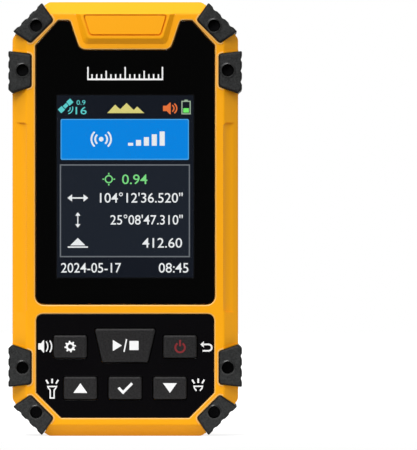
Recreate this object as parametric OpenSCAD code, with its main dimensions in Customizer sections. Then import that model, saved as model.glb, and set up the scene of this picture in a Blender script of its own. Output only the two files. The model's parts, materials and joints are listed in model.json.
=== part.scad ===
// Hand-held land area meter: a two-piece shell with rubber bumpers, a display behind a clear window,
// six keys, a torch in the top end and a charging socket behind a hinged door in the right side.
// Millimetres. X runs to the right as the face is seen, Y from the face to the back and Z up.
// The origin lies on the bottom end, under the middle of the whole meter.

/* [Overall] */
// Width over the side bumpers
overall_w = 73.9; // [73:0.1:78]
// Height from the bottom end to the top end
overall_h = 137.4; // [136:0.2:146]
// Thickness from the front of the crown to the back of the bumpers
overall_t = 30; // [29.4:0.2:34]

/* [Case] */
// Leg of the cut across each corner
corner_cut = 11.4; // [10.8:0.2:12.4]
// Rounding where the corner cuts meet the sides and ends
corner_r = 2.4; // [1:0.2:4]
// Width of the sloped front edge along the sides, seen from the front
slope_side = 4.5; // [3.6:0.1:5]
// Width of the sloped front edge along the top end
slope_top = 3.7; // [3:0.1:4.4]
// Width of the sloped front edge along the bottom end
slope_bottom = 3.6; // [3:0.1:4.6]
// Width of the sloped front edge along the corner cuts
slope_corner = 3; // [2:0.1:3.6]
// Depth of the sloped front edges from front to back
slope_depth = 4.4; // [3.6:0.1:4.8]
// Width and depth of the sloped back edges
back_slope = 4; // [3:0.1:4.4]
// Rounding along the sloped edges
edge_r = 1; // [0.4:0.1:1.6]
// Thickness of the side and back walls
wall = 2.6; // [2.4:0.1:3]
// Thickness of the front wall
front_wall = 3.4; // [3.3:0.1:3.8]
// Place of the parting plane behind the middle
parting_y = 2.8; // [2.6:0.1:3.2]
// Depth of the grip scoops in the sloped side edges
grip_depth = 0.6; // [0.3:0.1:0.9]
// Distance from the bottom end to the grip scoops
grip_low = 39.2; // [34:0.2:44]
// Distance from the top end to the grip scoops
grip_drop = 38.2; // [34:0.2:44]

/* [Crown] */
// Height of the raised crown above the rim
crown_h = 1.5; // [0.9:0.1:1.8]
// Width of the crown panel along its upper edge
crown_top_w = 25.8; // [22:0.2:28]
// Width of the crown panel along its lower edge
crown_low_w = 22.2; // [18:0.2:24]
// Height of the crown panel
crown_panel_h = 6; // [4:0.1:7]
// Width of the rim round the crown panel
crown_rim = 1.3; // [0.8:0.1:1.8]
// Width of the slope below the rim
crown_slope = 1.7; // [1:0.1:2]
// Distance from the top end to the upper edge of the crown panel
crown_drop = 4.4; // [4.2:0.1:5]
// Thickness of the crown panel
crown_panel_t = 0.9; // [0.6:0.1:1.2]
// Groove round the crown panel
crown_groove = 0.35; // [0.2:0.05:0.5]

/* [Window] */
// Width of the case front beside the window
rim_side = 7.36; // [7.2:0.02:8]
// Height of the case front above the window
rim_top = 5.92; // [5.4:0.02:6.4]
// Height of the case front below the keypad plate
rim_bottom = 5.86; // [5.6:0.02:6.8]
// Height of the bar between keypad plate and window
divider = 3; // [2.4:0.1:4]
// Width of the cut across the upper window corners
window_cut_w = 7.2; // [6.4:0.1:7.6]
// Height of the cut across the upper window corners
window_cut_h = 7.9; // [7.2:0.1:8.4]
// Rounding of the lower window corners
window_r = 2.7; // [1:0.1:4]
// Depth of the window below the rim
window_drop = 0.4; // [0.2:0.05:0.6]
// Thickness of the window
window_t = 1.25; // [1:0.05:1.4]
// Thickness of the printed mask behind the window
mask_t = 0.15; // [0.1:0.05:0.25]
// Thickness of the tape behind the mask
tape_t = 0.2; // [0.1:0.05:0.25]
// Height of the tongue that runs down into the window
tongue_h = 9.28; // [8.6:0.02:10.4]
// Width of the tongue at its root
tongue_top_w = 35; // [34.8:0.1:36]
// Width of the tongue at its lower edge
tongue_low_w = 28.7; // [28.6:0.1:30.4]
// Rounding of the lower tongue corners
tongue_r = 2.5; // [1:0.1:3.4]

/* [Display] */
// Distance from the tongue down to the lit part of the display
lit_drop = 14.4; // [13.6:0.1:15]
// Distance from the lower edge of the window up to the lit part
lit_foot = 8.6; // [8:0.05:9]
// Distance from the sides of the window to the lit part
lit_side = 6.79; // [6.2:0.01:7]
// Dark border of the display at its sides and its upper edge
panel_border = 2.2; // [1.6:0.1:2.4]
// Dark border of the display at its lower edge
panel_foot = 4.8; // [4:0.1:5.2]
// Thickness of the display glass
panel_t = 1.4; // [1.2:0.1:1.6]
// Thickness of the backlight
backlight_t = 1; // [0.8:0.1:1.4]

/* [Keypad] */
// Height of the keypad plate
keypad_h = 32.75; // [31.8:0.05:33]
// Thickness of the keypad plate
keypad_t = 1; // [0.8:0.1:1.2]
// Width of the cuts across the lower plate corners
keypad_cut = 7.9; // [7:0.1:8.6]
// Rounding of the upper plate corners
keypad_r = 2; // [1:0.1:3]
// Width of a small key as a share of the width of the plate
key_share = 0.187; // [0.17:0.001:0.195]
// Height of a small key
key_h = 7.1; // [6.4:0.1:7.4]
// Rounding of the key corners
key_r = 0.7; // [0.4:0.1:1.2]
// Distance of the upper key row from the lower edge of the plate
upper_row = 22.5; // [22:0.05:22.6]
// Distance of the lower key row from the lower edge of the plate
lower_row = 9.4; // [8.8:0.1:9.6]
// Distance of the outer upper keys from the middle as a share of the width of the plate
upper_share = 0.309; // [0.3:0.001:0.32]
// Distance of the outer lower keys from the middle as a share of the width of the plate
lower_share = 0.252; // [0.24:0.001:0.26]
// Gap between the wide key and the keys beside it
wide_gap = 2.45; // [2.4:0.05:3]
// How much narrower the wide key is along its lower edge
wide_taper = 4.9; // [3:0.1:6]
// Height of the wide key
wide_h = 10.6; // [9.6:0.1:10.8]
// Height of the keys above the plate
key_proud = 0.9; // [0.85:0.05:1]
// Sloped edge round the top of each key
key_edge = 0.4; // [0.2:0.05:0.6]
// Travel of the keys
key_travel = 0.7; // [0.5:0.05:0.8]
// Gap round each key
key_gap = 0.25; // [0.2:0.05:0.35]
// Width of the hidden flange round each key
key_flange = 0.8; // [0.6:0.05:0.9]

/* [Bumpers] */
// Height of the bumpers above the sides of the case
bumper_proud = 1.2; // [0.8:0.1:1.5]
// Height of the bumpers above the front of the case
bumper_rise = 1; // [0.6:0.1:1.1]
// Height of the bumpers above the back of the case
bumper_face = 0.6; // [0.4:0.1:0.8]
// Depth of the bumper seats in the case
bumper_seat = 0.8; // [0.6:0.1:0.9]
// Width of the raised lip round each bumper seat
lip_w = 0.45; // [0.3:0.05:0.6]
// Height of the lips
lip_h = 0.15; // [0.1:0.05:0.2]
// Reach of the side bumpers inward from the side of the case
side_reach = 6.15; // [5.8:0.05:6.4]
// Reach of the corner bumpers inward from the corner cut
corner_reach = 5.4; // [5:0.05:5.6]
// Half length of the bumpers at their inner edge
bumper_in = 5.2; // [4.8:0.1:5.4]
// Half length of the side bumpers at their outer face
bumper_out = 6.15; // [5.8:0.05:6.4]
// Half length of the corner bumpers at their outer face
corner_out = 6.45; // [6:0.05:6.6]
// Extra length of the slanted end of the side bumpers
bumper_slant = 1.1; // [0.6:0.1:1.4]
// Rounding of the inner bumper corners
bumper_r = 1; // [0.5:0.1:1.4]
// Sloped edge round the front and back of the bumpers
bumper_edge = 0.5; // [0.3:0.1:0.8]
// Distance of the side bumpers from the ends of the case
side_bumper_z = 21.7; // [21.2:0.1:22.4]
// Depth of the grooves across the outer bumper faces
groove_depth = 0.35; // [0.2:0.05:0.5]
// Spacing of the grooves
groove_pitch = 3.55; // [3.2:0.05:3.8]
// Radius of the screw wells in the bumpers
well_r = 1.9; // [1.85:0.05:2.05]
// Width of the raised collar round each screw well
collar_w = 0.5; // [0.3:0.05:0.6]
// Height of the collars
collar_h = 0.3; // [0.2:0.05:0.4]
// Distance of the side wells from the side of the case
side_well = 3.3; // [3:0.05:3.5]
// Distance of the corner wells from the corner cut
corner_well = 2.7; // [2.5:0.05:2.9]

/* [Back] */
// Width of the bare label plate
label_w = 42; // [30:1:46]
// Height of the bare label plate
label_h = 26; // [18:1:28]
// Distance from the top end to the middle of the label plate
label_drop = 53.4; // [48:0.2:58]
// Radius of the speaker
speaker_r = 10; // [9:0.2:10.4]
// Height of the middle of the speaker
speaker_z = 22.5; // [21.5:0.2:23.5]
// Radius of a speaker hole
grille_r = 0.75; // [0.6:0.05:0.85]
// Spacing of the speaker holes
grille_pitch = 2.8; // [2.5:0.05:3]
// Radius of the strap bar
bar_r = 0.9; // [0.7:0.05:1.1]
// Width of the strap notch
notch_w = 6.4; // [5:0.1:7]
// Depth of the strap notch up from the bottom end
notch_h = 6.4; // [6:0.1:7]

/* [Torch] */
// Radius of the torch tube
torch_r = 3.1; // [2.8:0.05:3.15]
// Length of the torch tube
torch_len = 8; // [7:0.1:9]

/* [Door] */
// Height of the middle of the charging socket
port_z = 52; // [51:0.5:55]
// Length of the door along the side
door_len = 16.6; // [15.8:0.1:17.4]
// Thickness of the door
door_t = 1.5; // [1.3:0.05:1.6]
// Length of the nail groove near the free edge of the door
nail_len = 8; // [6:0.5:12]
// Depth of the nail groove
nail_deep = 0.6; // [0.4:0.1:0.8]
// Radius of the rolled door edge on the hinge pin
knuckle_r = 0.9; // [0.8:0.02:0.96]
// Radius of the hinge pin
pin_r = 0.45; // [0.35:0.05:0.5]

/* [Inside] */
// Thickness of the main board
board_t = 1.2; // [1:0.1:1.6]
// Distance from the side of the case to the battery
battery_side = 11.25; // [11:0.05:14]
// Distance from the top end to the battery
battery_drop = 44.4; // [40:0.2:48]
// Distance from the speaker to the battery
battery_low = 5.5; // [5:0.1:8]
// Thickness of the battery
battery_t = 8.4; // [7:0.1:8.6]
// Side of the square aerial
aerial_w = 15; // [13:0.5:15.4]
// Thickness of the aerial
aerial_t = 3.2; // [2.6:0.1:3.3]

/* [Fits] */
// Gap round fixed pieces in their seats
fit = 0.1; // [0.05:0.01:0.15]
// Gap round the bumpers
bumper_gap = 0.12; // [0.1:0.01:0.25]
// Running gap on round faces
run = 0.05; // [0.03:0.01:0.08]

/* [Hidden] */
$fn = 40;
arc_steps = 5;

// Case planes, from front to back
case_hw = overall_w / 2 - bumper_proud;
face_y = -overall_t / 2 + crown_h;
back_y = overall_t / 2 - bumper_face;
inner_y = face_y + front_wall;
back_in_y = back_y - wall;
flat_y0 = face_y + slope_depth;
flat_y1 = back_y - back_slope;

// Window and display stack
window_hw = case_hw - rim_side;
keypad_z0 = rim_bottom;
keypad_z1 = rim_bottom + keypad_h;
window_z0 = keypad_z1 + divider;
window_z1 = overall_h - rim_top;
tongue_z = window_z1 - tongue_h;
window_y0 = face_y + window_drop;
mask_y0 = window_y0 + window_t;
tape_y0 = mask_y0 + mask_t;
ledge_y = tape_y0 + tape_t;
lit_z1 = tongue_z - lit_drop;
lit_z0 = window_z0 + lit_foot;
lit_h = lit_z1 - lit_z0;
panel_z0 = lit_z0 - panel_foot;
panel_z1 = lit_z1 + panel_border;
lit_w = 2 * (window_hw - lit_side);
panel_w = lit_w + 2 * panel_border;
panel_y0 = ledge_y + 0.05;
panel_y1 = panel_y0 + panel_t;
backlight_y1 = panel_y1 + backlight_t;

// Keypad stack: plate, web, flange, mat, switches, board
plate_y0 = face_y + window_drop;
plate_y1 = plate_y0 + keypad_t;
key_y0 = plate_y0 - key_proud;
flange_t = 0.8;
flange_y0 = inner_y + 0.15;
flange_y1 = flange_y0 + flange_t;
mat_t = 0.8;
mat_y0 = flange_y1 + key_travel + 0.1;
switch_cap_y = mat_y0 + mat_t + 0.1;
switch_t = 1.7;
board_y0 = switch_cap_y + switch_t;
board_y1 = board_y0 + board_t;
post_end_y = switch_cap_y - key_travel - 0.1;
plate_w = 2 * (window_hw - 0.3);
key_w = key_share * plate_w;
upper_pitch = upper_share * plate_w;
lower_pitch = lower_share * plate_w;
wide_top_w = 2 * (upper_pitch - key_w / 2 - wide_gap);
wide_low_w = wide_top_w - wide_taper;
upper_z = keypad_z0 + upper_row;
lower_z = keypad_z0 + lower_row;
wide_lift = 0.35;
wide_z = upper_z + wide_lift;

// Board and the screws that hold it
board_side = 8.15;
board_low = 8.6;
board_drop = 10;
board_hw = case_hw - board_side;
board_z0 = board_low;
board_z1 = overall_h - board_drop;
board_cut = 9;
standoff_r = 1.8;
standoff_lift = 0.9;
standoff_drop = 5;
board_screw_x = (panel_w / 2 + board_hw) / 2;
board_screw_z = [keypad_z1 + standoff_lift, panel_z1 - standoff_drop];
board_shank_r = 0.95;
board_shank = 3.4;
board_head_r = 1.7;
board_head_t = 1.2;

// Screws that close the case, as [x, z]
top_screw_in = 20.75;
top_screw_drop = 6.6;
mid_screw_in = 5.35;
mid_screw_lift = 21;
low_screw_in = 24.75;
low_screw_lift = 5.6;
case_screw_places = [[case_hw - top_screw_in, overall_h - top_screw_drop],
  [case_hw - mid_screw_in, port_z + mid_screw_lift], [case_hw - low_screw_in, low_screw_lift]];
case_boss_r = 2.3;
case_shank_r = 1.1;
insert_r = 1.55;
insert_len = 4;
head_seat = 3.6;
head_seat_y = back_y - head_seat;
head_r = 1.9;
head_t = 1.7;

// Bumper places: the middle of each seat, its turn about Y and how far in its well lies
bumper_y0 = face_y - bumper_rise;
bumper_y1 = overall_t / 2;
peg_r = 2.7;
groove_r = 1.4;
collar_foot = 0.1;
peg_in = 2.8;
peg_floor = 0.9;
post_len = 7;
peg_y = face_y + peg_in;
well_floor_y = peg_y - peg_floor;
bumper_post_y = peg_y + post_len;
bumper_shank_r = 1;
bumper_head_r = 1.65;
bumper_head_t = 1.1;

// Seal in the rim of the back case
seal_in = 1.2;
seal_w = 0.7;
seal_t = 0.75;

// Door and socket in the right side
socket_w = 8.94;
socket_t = 3.26;
socket_len = 7.35;
plug_w = 12.4;
plug_t = 6.6;
port_y = board_y1 + 0.35;
pin_y = port_y + plug_t / 2 + 1.5;
pin_x = case_hw - 1.35;
door_x = case_hw - 0.15;
pocket_in = 2.5;
door_y0 = port_y - plug_t / 2 - 0.75;
port_in = pocket_in + 2;
socket_x = case_hw - port_in - 0.3;
pocket_back = 0.55;
nail_w = 1.1;
nail_in = 1;

// Torch in the top end
torch_y = parting_y + 1 + torch_r;
torch_wall = 0.5;
torch_top = overall_h - 0.2;

// Strap notch in the lower back edge
notch_in = 6.75;
notch_depth = 5.4;
bar_in = 2.1;
notch_x = case_hw - corner_cut - notch_in;
notch_y0 = back_y - notch_depth;
bar_y = back_y - bar_in;
bar_z = 2.6;
bar_hold = 1.6;

// Battery bay
label_z = overall_h - label_drop;
battery_x = case_hw - battery_side;
battery_z0 = speaker_z + speaker_r + battery_low;
battery_z1 = overall_h - battery_drop;
battery_play = 0.3;
pad_t = back_in_y - parting_y - battery_t + 0.2;
battery_y1 = back_in_y - pad_t;
battery_y0 = battery_y1 - battery_t;
rib_t = 1.2;

// Components on the board
shield_w = 16;
shield_h = 13;
shield_t = 2.2;
shield_drop = 9;
chip_w = 10;
chip_t = 1;
chip_drop = 1;
lead_in = 19.75;
lead_low = 6;
lead_gap = 2.4;
lead_r = 0.5;
plug_box_w = 7;
plug_box_h = 5;
plug_box_t = 3;
flex_w = 18;
flex_t = 0.2;
flex_drop = 1.6;
flex_tail = 4;
cushion_h = 6;
cushion_in = 12;
cushion_side = 4;
speaker_t = 3;
magnet_t = 1.2;
aerial_board_t = 0.8;
switch_w = 4.4;
switch_cap_r = 1.1;
switch_cap_t = 0.4;

amber = "#f9a81c";
rubber = "#363737";
gloss_black = "#0a090b";
key_grey = "#303033";
steel = "#b9bbbd";
green = "#1f5a3a";

// An outline is a list of corners [x, z, radius], anticlockwise
function place(p) = [p[0], p[1]];
function unit(v) = v / norm(v);

// The outline moved outward by d, with its rounded corners kept concentric
function grown(p, d) = let (n = len(p)) [for (i = [0 : n - 1]) let (
    a = place(p[(i + n - 1) % n]),
    b = place(p[i]),
    c = place(p[(i + 1) % n]),
    e = unit(b - a),
    f = unit(c - b),
    m = [e[1], -e[0]],
    k = [f[1], -f[0]],
    q = b + d * (m + k) / (1 + m * k),
    r = p[i][2] + (e[0] * f[1] - e[1] * f[0] > 0 ? d : -d)
  ) [q[0], q[1], p[i][2] == 0 || r < 0.1 ? 0 : r]];

// Points along one rounded corner
function bend(a, b, c, r) = let (
    u = unit(a - b),
    v = unit(c - b),
    half = acos(u * v) / 2,
    m = b + unit(u + v) * r / sin(half),
    s = b + u * r / tan(half) - m,
    t = b + v * r / tan(half) - m,
    a0 = atan2(s[1], s[0]),
    w = atan2(t[1], t[0]) - a0,
    sweep = w > 180 ? w - 360 : w < -180 ? w + 360 : w
  ) [for (k = [0 : arc_steps]) m + r * [cos(a0 + sweep * k / arc_steps), sin(a0 + sweep * k / arc_steps)]];

function rounded(p) = let (n = len(p)) [for (i = [0 : n - 1])
  each p[i][2] == 0 ? [place(p[i])]
    : bend(place(p[(i + n - 1) % n]), place(p[i]), place(p[(i + 1) % n]), p[i][2])];

function box_outline(w, h, r) = let (x = w / 2, z = h / 2) [
  [-x, -z, r], [x, -z, r], [x, z, r], [-x, z, r]];
function moved(p, x, z) = [for (q = p) [q[0] + x, q[1] + z, q[2]]];

function case_outline() = let (x = case_hw, h = overall_h, c = corner_cut, r = corner_r) [
  [c - x, 0, r], [x - c, 0, r], [x, c, r], [x, h - c, r],
  [x - c, h, r], [c - x, h, r], [-x, h - c, r], [-x, c, r]];

// Cross-section of the case with half width x and front slopes of width s
function cross_outline(x, s) = let (r = edge_r) [
  [s - x, face_y, r], [x - s, face_y, r], [x, flat_y0, r], [x, flat_y1, r], [x - back_slope, back_y, r],
  [back_slope - x, back_y, r], [-x, flat_y1, r], [-x, flat_y0, r]];

function end_outline() = let (h = overall_h, r = edge_r) [
  [flat_y0, 0, r], [flat_y1, 0, r], [back_y, back_slope, r], [back_y, h - back_slope, r], [flat_y1, h, r],
  [flat_y0, h, r], [face_y, h - slope_top, r], [face_y, slope_bottom, r]];

function window_outline() = let (x = window_hw, z = window_z1) [
  [-x, window_z0, window_r], [x, window_z0, window_r], [x, z - window_cut_h, 0.6], [x - window_cut_w, z, 0.6],
  [tongue_top_w / 2, z, 1], [tongue_low_w / 2, tongue_z, tongue_r], [-tongue_low_w / 2, tongue_z, tongue_r],
  [-tongue_top_w / 2, z, 1], [window_cut_w - x, z, 0.6], [-x, z - window_cut_h, 0.6]];

function keypad_outline() = let (x = plate_w / 2, c = keypad_cut) [
  [c - x, keypad_z0, 0.6], [x - c, keypad_z0, 0.6], [x, keypad_z0 + c, 0.6], [x, keypad_z1, keypad_r],
  [-x, keypad_z1, keypad_r], [-x, keypad_z0 + c, 0.6]];

function panel_outline() = moved(box_outline(panel_w, panel_z1 - panel_z0, 0), 0, (panel_z0 + panel_z1) / 2);
function lit_outline() = moved(box_outline(lit_w, lit_h, 0), 0, (lit_z0 + lit_z1) / 2);
function small_key(x, z) = moved(box_outline(key_w, key_h, key_r), x, z);
function wide_key() = let (t = wide_top_w / 2, b = wide_low_w / 2, h = wide_h / 2, r = key_r)
  moved([[-b, -h, r], [b, -h, r], [t, h, r], [-t, h, r]], 0, wide_z);

key_outlines = [small_key(-upper_pitch, upper_z), wide_key(), small_key(upper_pitch, upper_z),
  small_key(-lower_pitch, lower_z), small_key(0, lower_z), small_key(lower_pitch, lower_z)];
key_middles = [[-upper_pitch, upper_z], [0, wide_z], [upper_pitch, upper_z],
  [-lower_pitch, lower_z], [0, lower_z], [lower_pitch, lower_z]];

// Corners of the crown panel grown by d, and the foot of the crown
crown_z1 = overall_h - crown_drop;
crown_z0 = crown_z1 - crown_panel_h;
function crown_outline(d) = let (t = crown_top_w / 2, b = crown_low_w / 2)
  grown([[-b, crown_z0, 1], [b, crown_z0, 1], [t, crown_z1, 0.4], [-t, crown_z1, 0.4]], d);
function crown_face() = let (t = crown_top_w / 2, b = crown_low_w / 2, d = crown_rim)
  [[-b - d * 0.6, crown_z0 - d, 1.4], [b + d * 0.6, crown_z0 - d, 1.4], [t + d, crown_z1 + 0.4, 0],
   [-t - d, crown_z1 + 0.4, 0]];
function crown_foot() = let (t = crown_top_w / 2, b = crown_low_w / 2, d = crown_rim + crown_slope)
  [[-b - d * 0.7, crown_z0 - d, 1.8], [b + d * 0.7, crown_z0 - d, 1.8], [t + d, crown_z1 + 0.5, 0],
   [-t - d, crown_z1 + 0.5, 0]];

// Bumper outlines seen from the front, with the outward direction up and the seat's middle at the origin
function corner_pad() = [[-bumper_in, -corner_reach, bumper_r], [bumper_in, -corner_reach, bumper_r],
  [corner_out, bumper_proud, 0.25], [-corner_out, bumper_proud, 0.25]];
function side_pad() = [[-bumper_in, -side_reach, bumper_r], [bumper_in, -side_reach, bumper_r],
  [bumper_out + bumper_slant, 0, 0.4], [bumper_out, bumper_proud, 0.4], [-bumper_out, bumper_proud, 0.4]];

module shape(p) {
  polygon(rounded(p));
}

// Prisms along the three axes: along_y takes a drawing in X and Z, along_x one in Y and Z
module along_y(y0, y1) {
  translate([0, y1, 0]) rotate([90, 0, 0]) linear_extrude(y1 - y0) children();
}

module along_x(x0, x1) {
  translate([x0, 0, 0]) rotate([90, 0, 90]) linear_extrude(x1 - x0) children();
}

module along_z(z0, z1) {
  translate([0, 0, z0]) linear_extrude(z1 - z0) children();
}

module rod_y(x, z, r, y0, y1) {
  translate([x, y1, z]) rotate([90, 0, 0]) cylinder(r = r, h = y1 - y0);
}

module rod_x(y, z, r, x0, x1) {
  translate([x0, y, z]) rotate([0, 90, 0]) cylinder(r = r, h = x1 - x0);
}

module rod_z(x, y, r, z0, z1) {
  translate([x, y, z0]) cylinder(r = r, h = z1 - z0);
}

module block(x0, x1, y0, y1, z0, z1) {
  translate([x0, y0, z0]) cube([x1 - x0, y1 - y0, z1 - z0]);
}

module both_sides() {
  children();
  mirror([1, 0, 0]) children();
}

module both_ends() {
  children();
  translate([0, 0, overall_h]) mirror([0, 0, 1]) children();
}

// The outer shape of the closed case, drawn in by d all round
module case_form(d) {
  diagonal = (case_hw + overall_h / 2 - corner_cut) / sqrt(2);
  intersection() {
    along_y(face_y + d, back_y - d) shape(grown(case_outline(), -d));
    along_z(0, overall_h) shape(grown(cross_outline(case_hw, slope_side), -d));
    along_x(-overall_w, overall_w) shape(grown(end_outline(), -d));
    for (a = [-45, 45]) translate([0, 0, overall_h / 2]) rotate([0, a, 0])
      along_z(-overall_h, overall_h) shape(grown(cross_outline(diagonal, slope_corner), -d));
  }
}

// Puts a drawing made in a bumper's own directions at the upper right corner or side
module at_corner() {
  translate([case_hw - corner_cut / 2, 0, overall_h - corner_cut / 2]) rotate([0, 45, 0]) children();
}

module at_side() {
  translate([case_hw, 0, overall_h - side_bumper_z]) rotate([0, 90, 0]) children();
}

module at_bumpers(corner_drop, side_drop) {
  both_ends() both_sides() {
    at_corner() translate([0, 0, -corner_drop]) children();
    at_side() translate([0, 0, -side_drop]) children();
  }
}

module bumper_seats() {
  difference() {
    both_ends() both_sides() {
      at_corner() along_y(bumper_y0 - 1, bumper_y1 + 1) shape(grown(corner_pad(), bumper_gap));
      at_side() along_y(bumper_y0 - 1, bumper_y1 + 1) shape(grown(side_pad(), bumper_gap));
    }
    case_form(bumper_seat);
  }
}

// Raised lips round the seats on the front of the case, inside the height of the case
module seat_lips() {
  intersection() {
    both_ends() both_sides() {
      at_corner() along_y(bumper_y0 - 1, flat_y0) shape(grown(corner_pad(), bumper_gap + lip_w));
      at_side() along_y(bumper_y0 - 1, flat_y0) shape(grown(side_pad(), bumper_gap + lip_w));
    }
    case_form(-lip_h);
    block(-overall_w, overall_w, face_y - 1, flat_y0, 0, overall_h);
  }
}

module at_case_screws() {
  both_sides() for (p = case_screw_places) translate([p[0], 0, p[1]]) children();
}

module at_board_screws() {
  both_sides() for (z = board_screw_z) translate([board_screw_x, 0, z]) children();
}

module front_posts() {
  at_bumpers(corner_well, side_well) rod_y(0, 0, peg_r, face_y, bumper_post_y);
  at_case_screws() rod_y(0, 0, case_boss_r, face_y, parting_y + 1);
  at_board_screws() rod_y(0, 0, standoff_r, face_y, board_y0);
  block(case_hw - port_in, case_hw, flat_y0, parting_y + 1,
    port_z - door_len / 2 - 2.2, port_z + door_len / 2 + 2.2);
}

module crown() {
  hull() {
    along_y(face_y - crown_h, face_y - crown_h + 0.1) shape(crown_face());
    along_y(face_y, face_y + 0.2) shape(crown_foot());
    block(-crown_top_w / 2 - 2.2, crown_top_w / 2 + 2.2, flat_y0 - 0.3, flat_y0,
      overall_h - 1, overall_h - 0.35);
  }
}

// A hollow along the sloped side edge: part of a long rod with rounded ends
module grip_cut() {
  h = overall_h - grip_low - grip_drop;
  slope_len = norm([slope_side, slope_depth]);
  half = 0.41 * slope_len;
  r = (half * half + grip_depth * grip_depth) / (2 * grip_depth);
  translate([case_hw - slope_side, face_y, grip_low + h / 2]) rotate([0, 0, atan2(slope_depth, slope_side)])
    intersection() {
      along_y(-slope_side, slope_side) shape(moved(box_outline(2 * slope_len, h, 2), slope_len - 0.6, 0));
      translate([0.32 * slope_len, grip_depth - r, 0]) cylinder(r = r, h = h + 2, center = true);
    }
}

// The room that the door, its pin and the plug take in the right side
module door_room() {
  z0 = port_z - door_len / 2;
  z1 = port_z + door_len / 2;
  block(case_hw - pocket_in, case_hw + 1, door_y0 - 0.2, pin_y, z0 - 0.15, z1 + 0.15);
  block(case_hw - pocket_in, case_hw + 1, pin_y - 0.1, pin_y + knuckle_r + pocket_back, z0 - 0.15, z1 + 0.15);
  along_x(case_hw - port_in - 1, case_hw) translate([port_y, port_z])
    shape(box_outline(plug_t, plug_w, plug_t / 2 - 0.1));
  rod_z(pin_x, pin_y, pin_r, z0 - 1.4, z1 + 1.4);
}

module front_case() {
  color(amber) difference() {
    union() {
      intersection() {
        case_form(0);
        block(-overall_w, overall_w, face_y - 1, parting_y, -1, overall_h + 1);
      }
      crown();
      seat_lips();
    }
    difference() {
      intersection() {
        case_form(wall);
        block(-overall_w, overall_w, inner_y, parting_y + 1, 0, overall_h);
      }
      front_posts();
    }
    along_y(face_y - 1, ledge_y) shape(grown(window_outline(), fit));
    along_y(ledge_y - 0.5, inner_y + 1) shape(grown(panel_outline(), fit));
    along_y(face_y - 1, plate_y1) shape(grown(keypad_outline(), fit));
    for (p = key_outlines) along_y(plate_y1 - 0.5, inner_y + 1) shape(grown(p, key_gap));
    along_y(face_y - crown_h - 1, face_y - crown_h + crown_panel_t) shape(crown_outline(crown_groove));
    bumper_seats();
    at_bumpers(corner_well, side_well) {
      rod_y(0, 0, peg_r + fit, face_y - 2, peg_y);
      rod_y(0, 0, bumper_shank_r + run, peg_y - 0.5, bumper_post_y + 1);
    }
    at_case_screws() rod_y(0, 0, insert_r + run, parting_y - insert_len - 2, parting_y + 1);
    at_board_screws() rod_y(0, 0, board_shank_r + run, board_y0 - board_shank - 0.2, board_y0 + 1);
    both_sides() grip_cut();
    door_room();
  }
}

module back_posts() {
  at_case_screws() rod_y(0, 0, case_boss_r + 0.3, parting_y - 1, back_y);
  difference() {
    rod_y(0, speaker_z, speaker_r + fit + rib_t, back_in_y - speaker_t, back_y);
    rod_y(0, speaker_z, speaker_r + fit, back_in_y - speaker_t - 1, back_in_y);
  }
  p = battery_play;
  q = battery_play + rib_t;
  difference() {
    block(-battery_x - q, battery_x + q, battery_y0 + 2, back_y, battery_z0 - q, battery_z1 + q);
    block(-battery_x - p, battery_x + p, parting_y - 2, back_in_y, battery_z0 - p, battery_z1 + p);
  }
  rod_z(0, torch_y, torch_r + 1.1, torch_top - torch_len + 1, overall_h);
  block(notch_x - notch_w / 2 - 2.2, notch_x + notch_w / 2 + 2.2, notch_y0 - 1.6, back_y, 0, notch_h + 1.6);
}

module grille_holes() {
  for (i = [-2 : 2], j = [-2 : 2]) {
    x = (i + j / 2) * grille_pitch;
    z = j * grille_pitch * sqrt(3) / 2;
    if (norm([x, z]) < 2.1 * grille_pitch)
      rod_y(x, speaker_z + z, grille_r, back_in_y - 1, back_y + 1);
  }
}

module back_case() {
  color(amber) difference() {
    intersection() {
      case_form(0);
      block(-overall_w, overall_w, parting_y, back_y + 1, -1, overall_h + 1);
    }
    difference() {
      intersection() {
        case_form(wall);
        block(-overall_w, overall_w, parting_y - 1, back_in_y, 0, overall_h);
      }
      back_posts();
    }
    bumper_seats();
    at_case_screws() {
      rod_y(0, 0, case_shank_r + 0.15, parting_y - 2, back_y + 1);
      rod_y(0, 0, head_r + 0.15, head_seat_y, back_y + 1);
    }
    along_y(parting_y - 1, parting_y + seal_t + run) difference() {
      shape(grown(case_outline(), run - seal_in));
      shape(grown(case_outline(), -run - seal_in - seal_w));
    }
    rod_z(0, torch_y, torch_r + run, torch_top - torch_len - 1, overall_h + 1);
    block(notch_x - notch_w / 2, notch_x + notch_w / 2, notch_y0, back_y + 1, -1, notch_h);
    rod_x(bar_y, bar_z, bar_r + run, notch_x - notch_w / 2 - bar_hold, notch_x + notch_w / 2 + bar_hold);
    along_y(back_y - 0.5, back_y + 1) translate([0, label_z])
      shape(box_outline(label_w + 0.2, label_h + 0.2, 2));
    grille_holes();
    rod_y(0, speaker_z, speaker_r - 1.4, back_in_y - 0.5, back_in_y + 0.4);
  }
}

module case_seal() {
  color("#4a4c4e") along_y(parting_y, parting_y + seal_t) difference() {
    shape(grown(case_outline(), -seal_in));
    shape(grown(case_outline(), -seal_in - seal_w));
  }
}

module crown_panel() {
  color(amber) along_y(face_y - crown_h + 0.05, face_y - crown_h + crown_panel_t) shape(crown_outline(0));
}

module display_window() {
  color("#1a1c1f") along_y(window_y0, mask_y0) shape(window_outline());
}

module window_mask() {
  color(gloss_black) along_y(mask_y0, tape_y0) difference() {
    shape(grown(window_outline(), -0.2));
    shape(grown(lit_outline(), 0.3));
  }
}

module window_tape() {
  color("#25262a") along_y(tape_y0, ledge_y) difference() {
    shape(grown(window_outline(), -0.3));
    shape(grown(panel_outline(), -0.6));
  }
}

module display_panel() {
  color("#20242c") along_y(panel_y0, panel_y1) shape(panel_outline());
}

module display_backlight() {
  color("#d5d8da") along_y(panel_y1, backlight_y1) shape(panel_outline());
}

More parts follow.
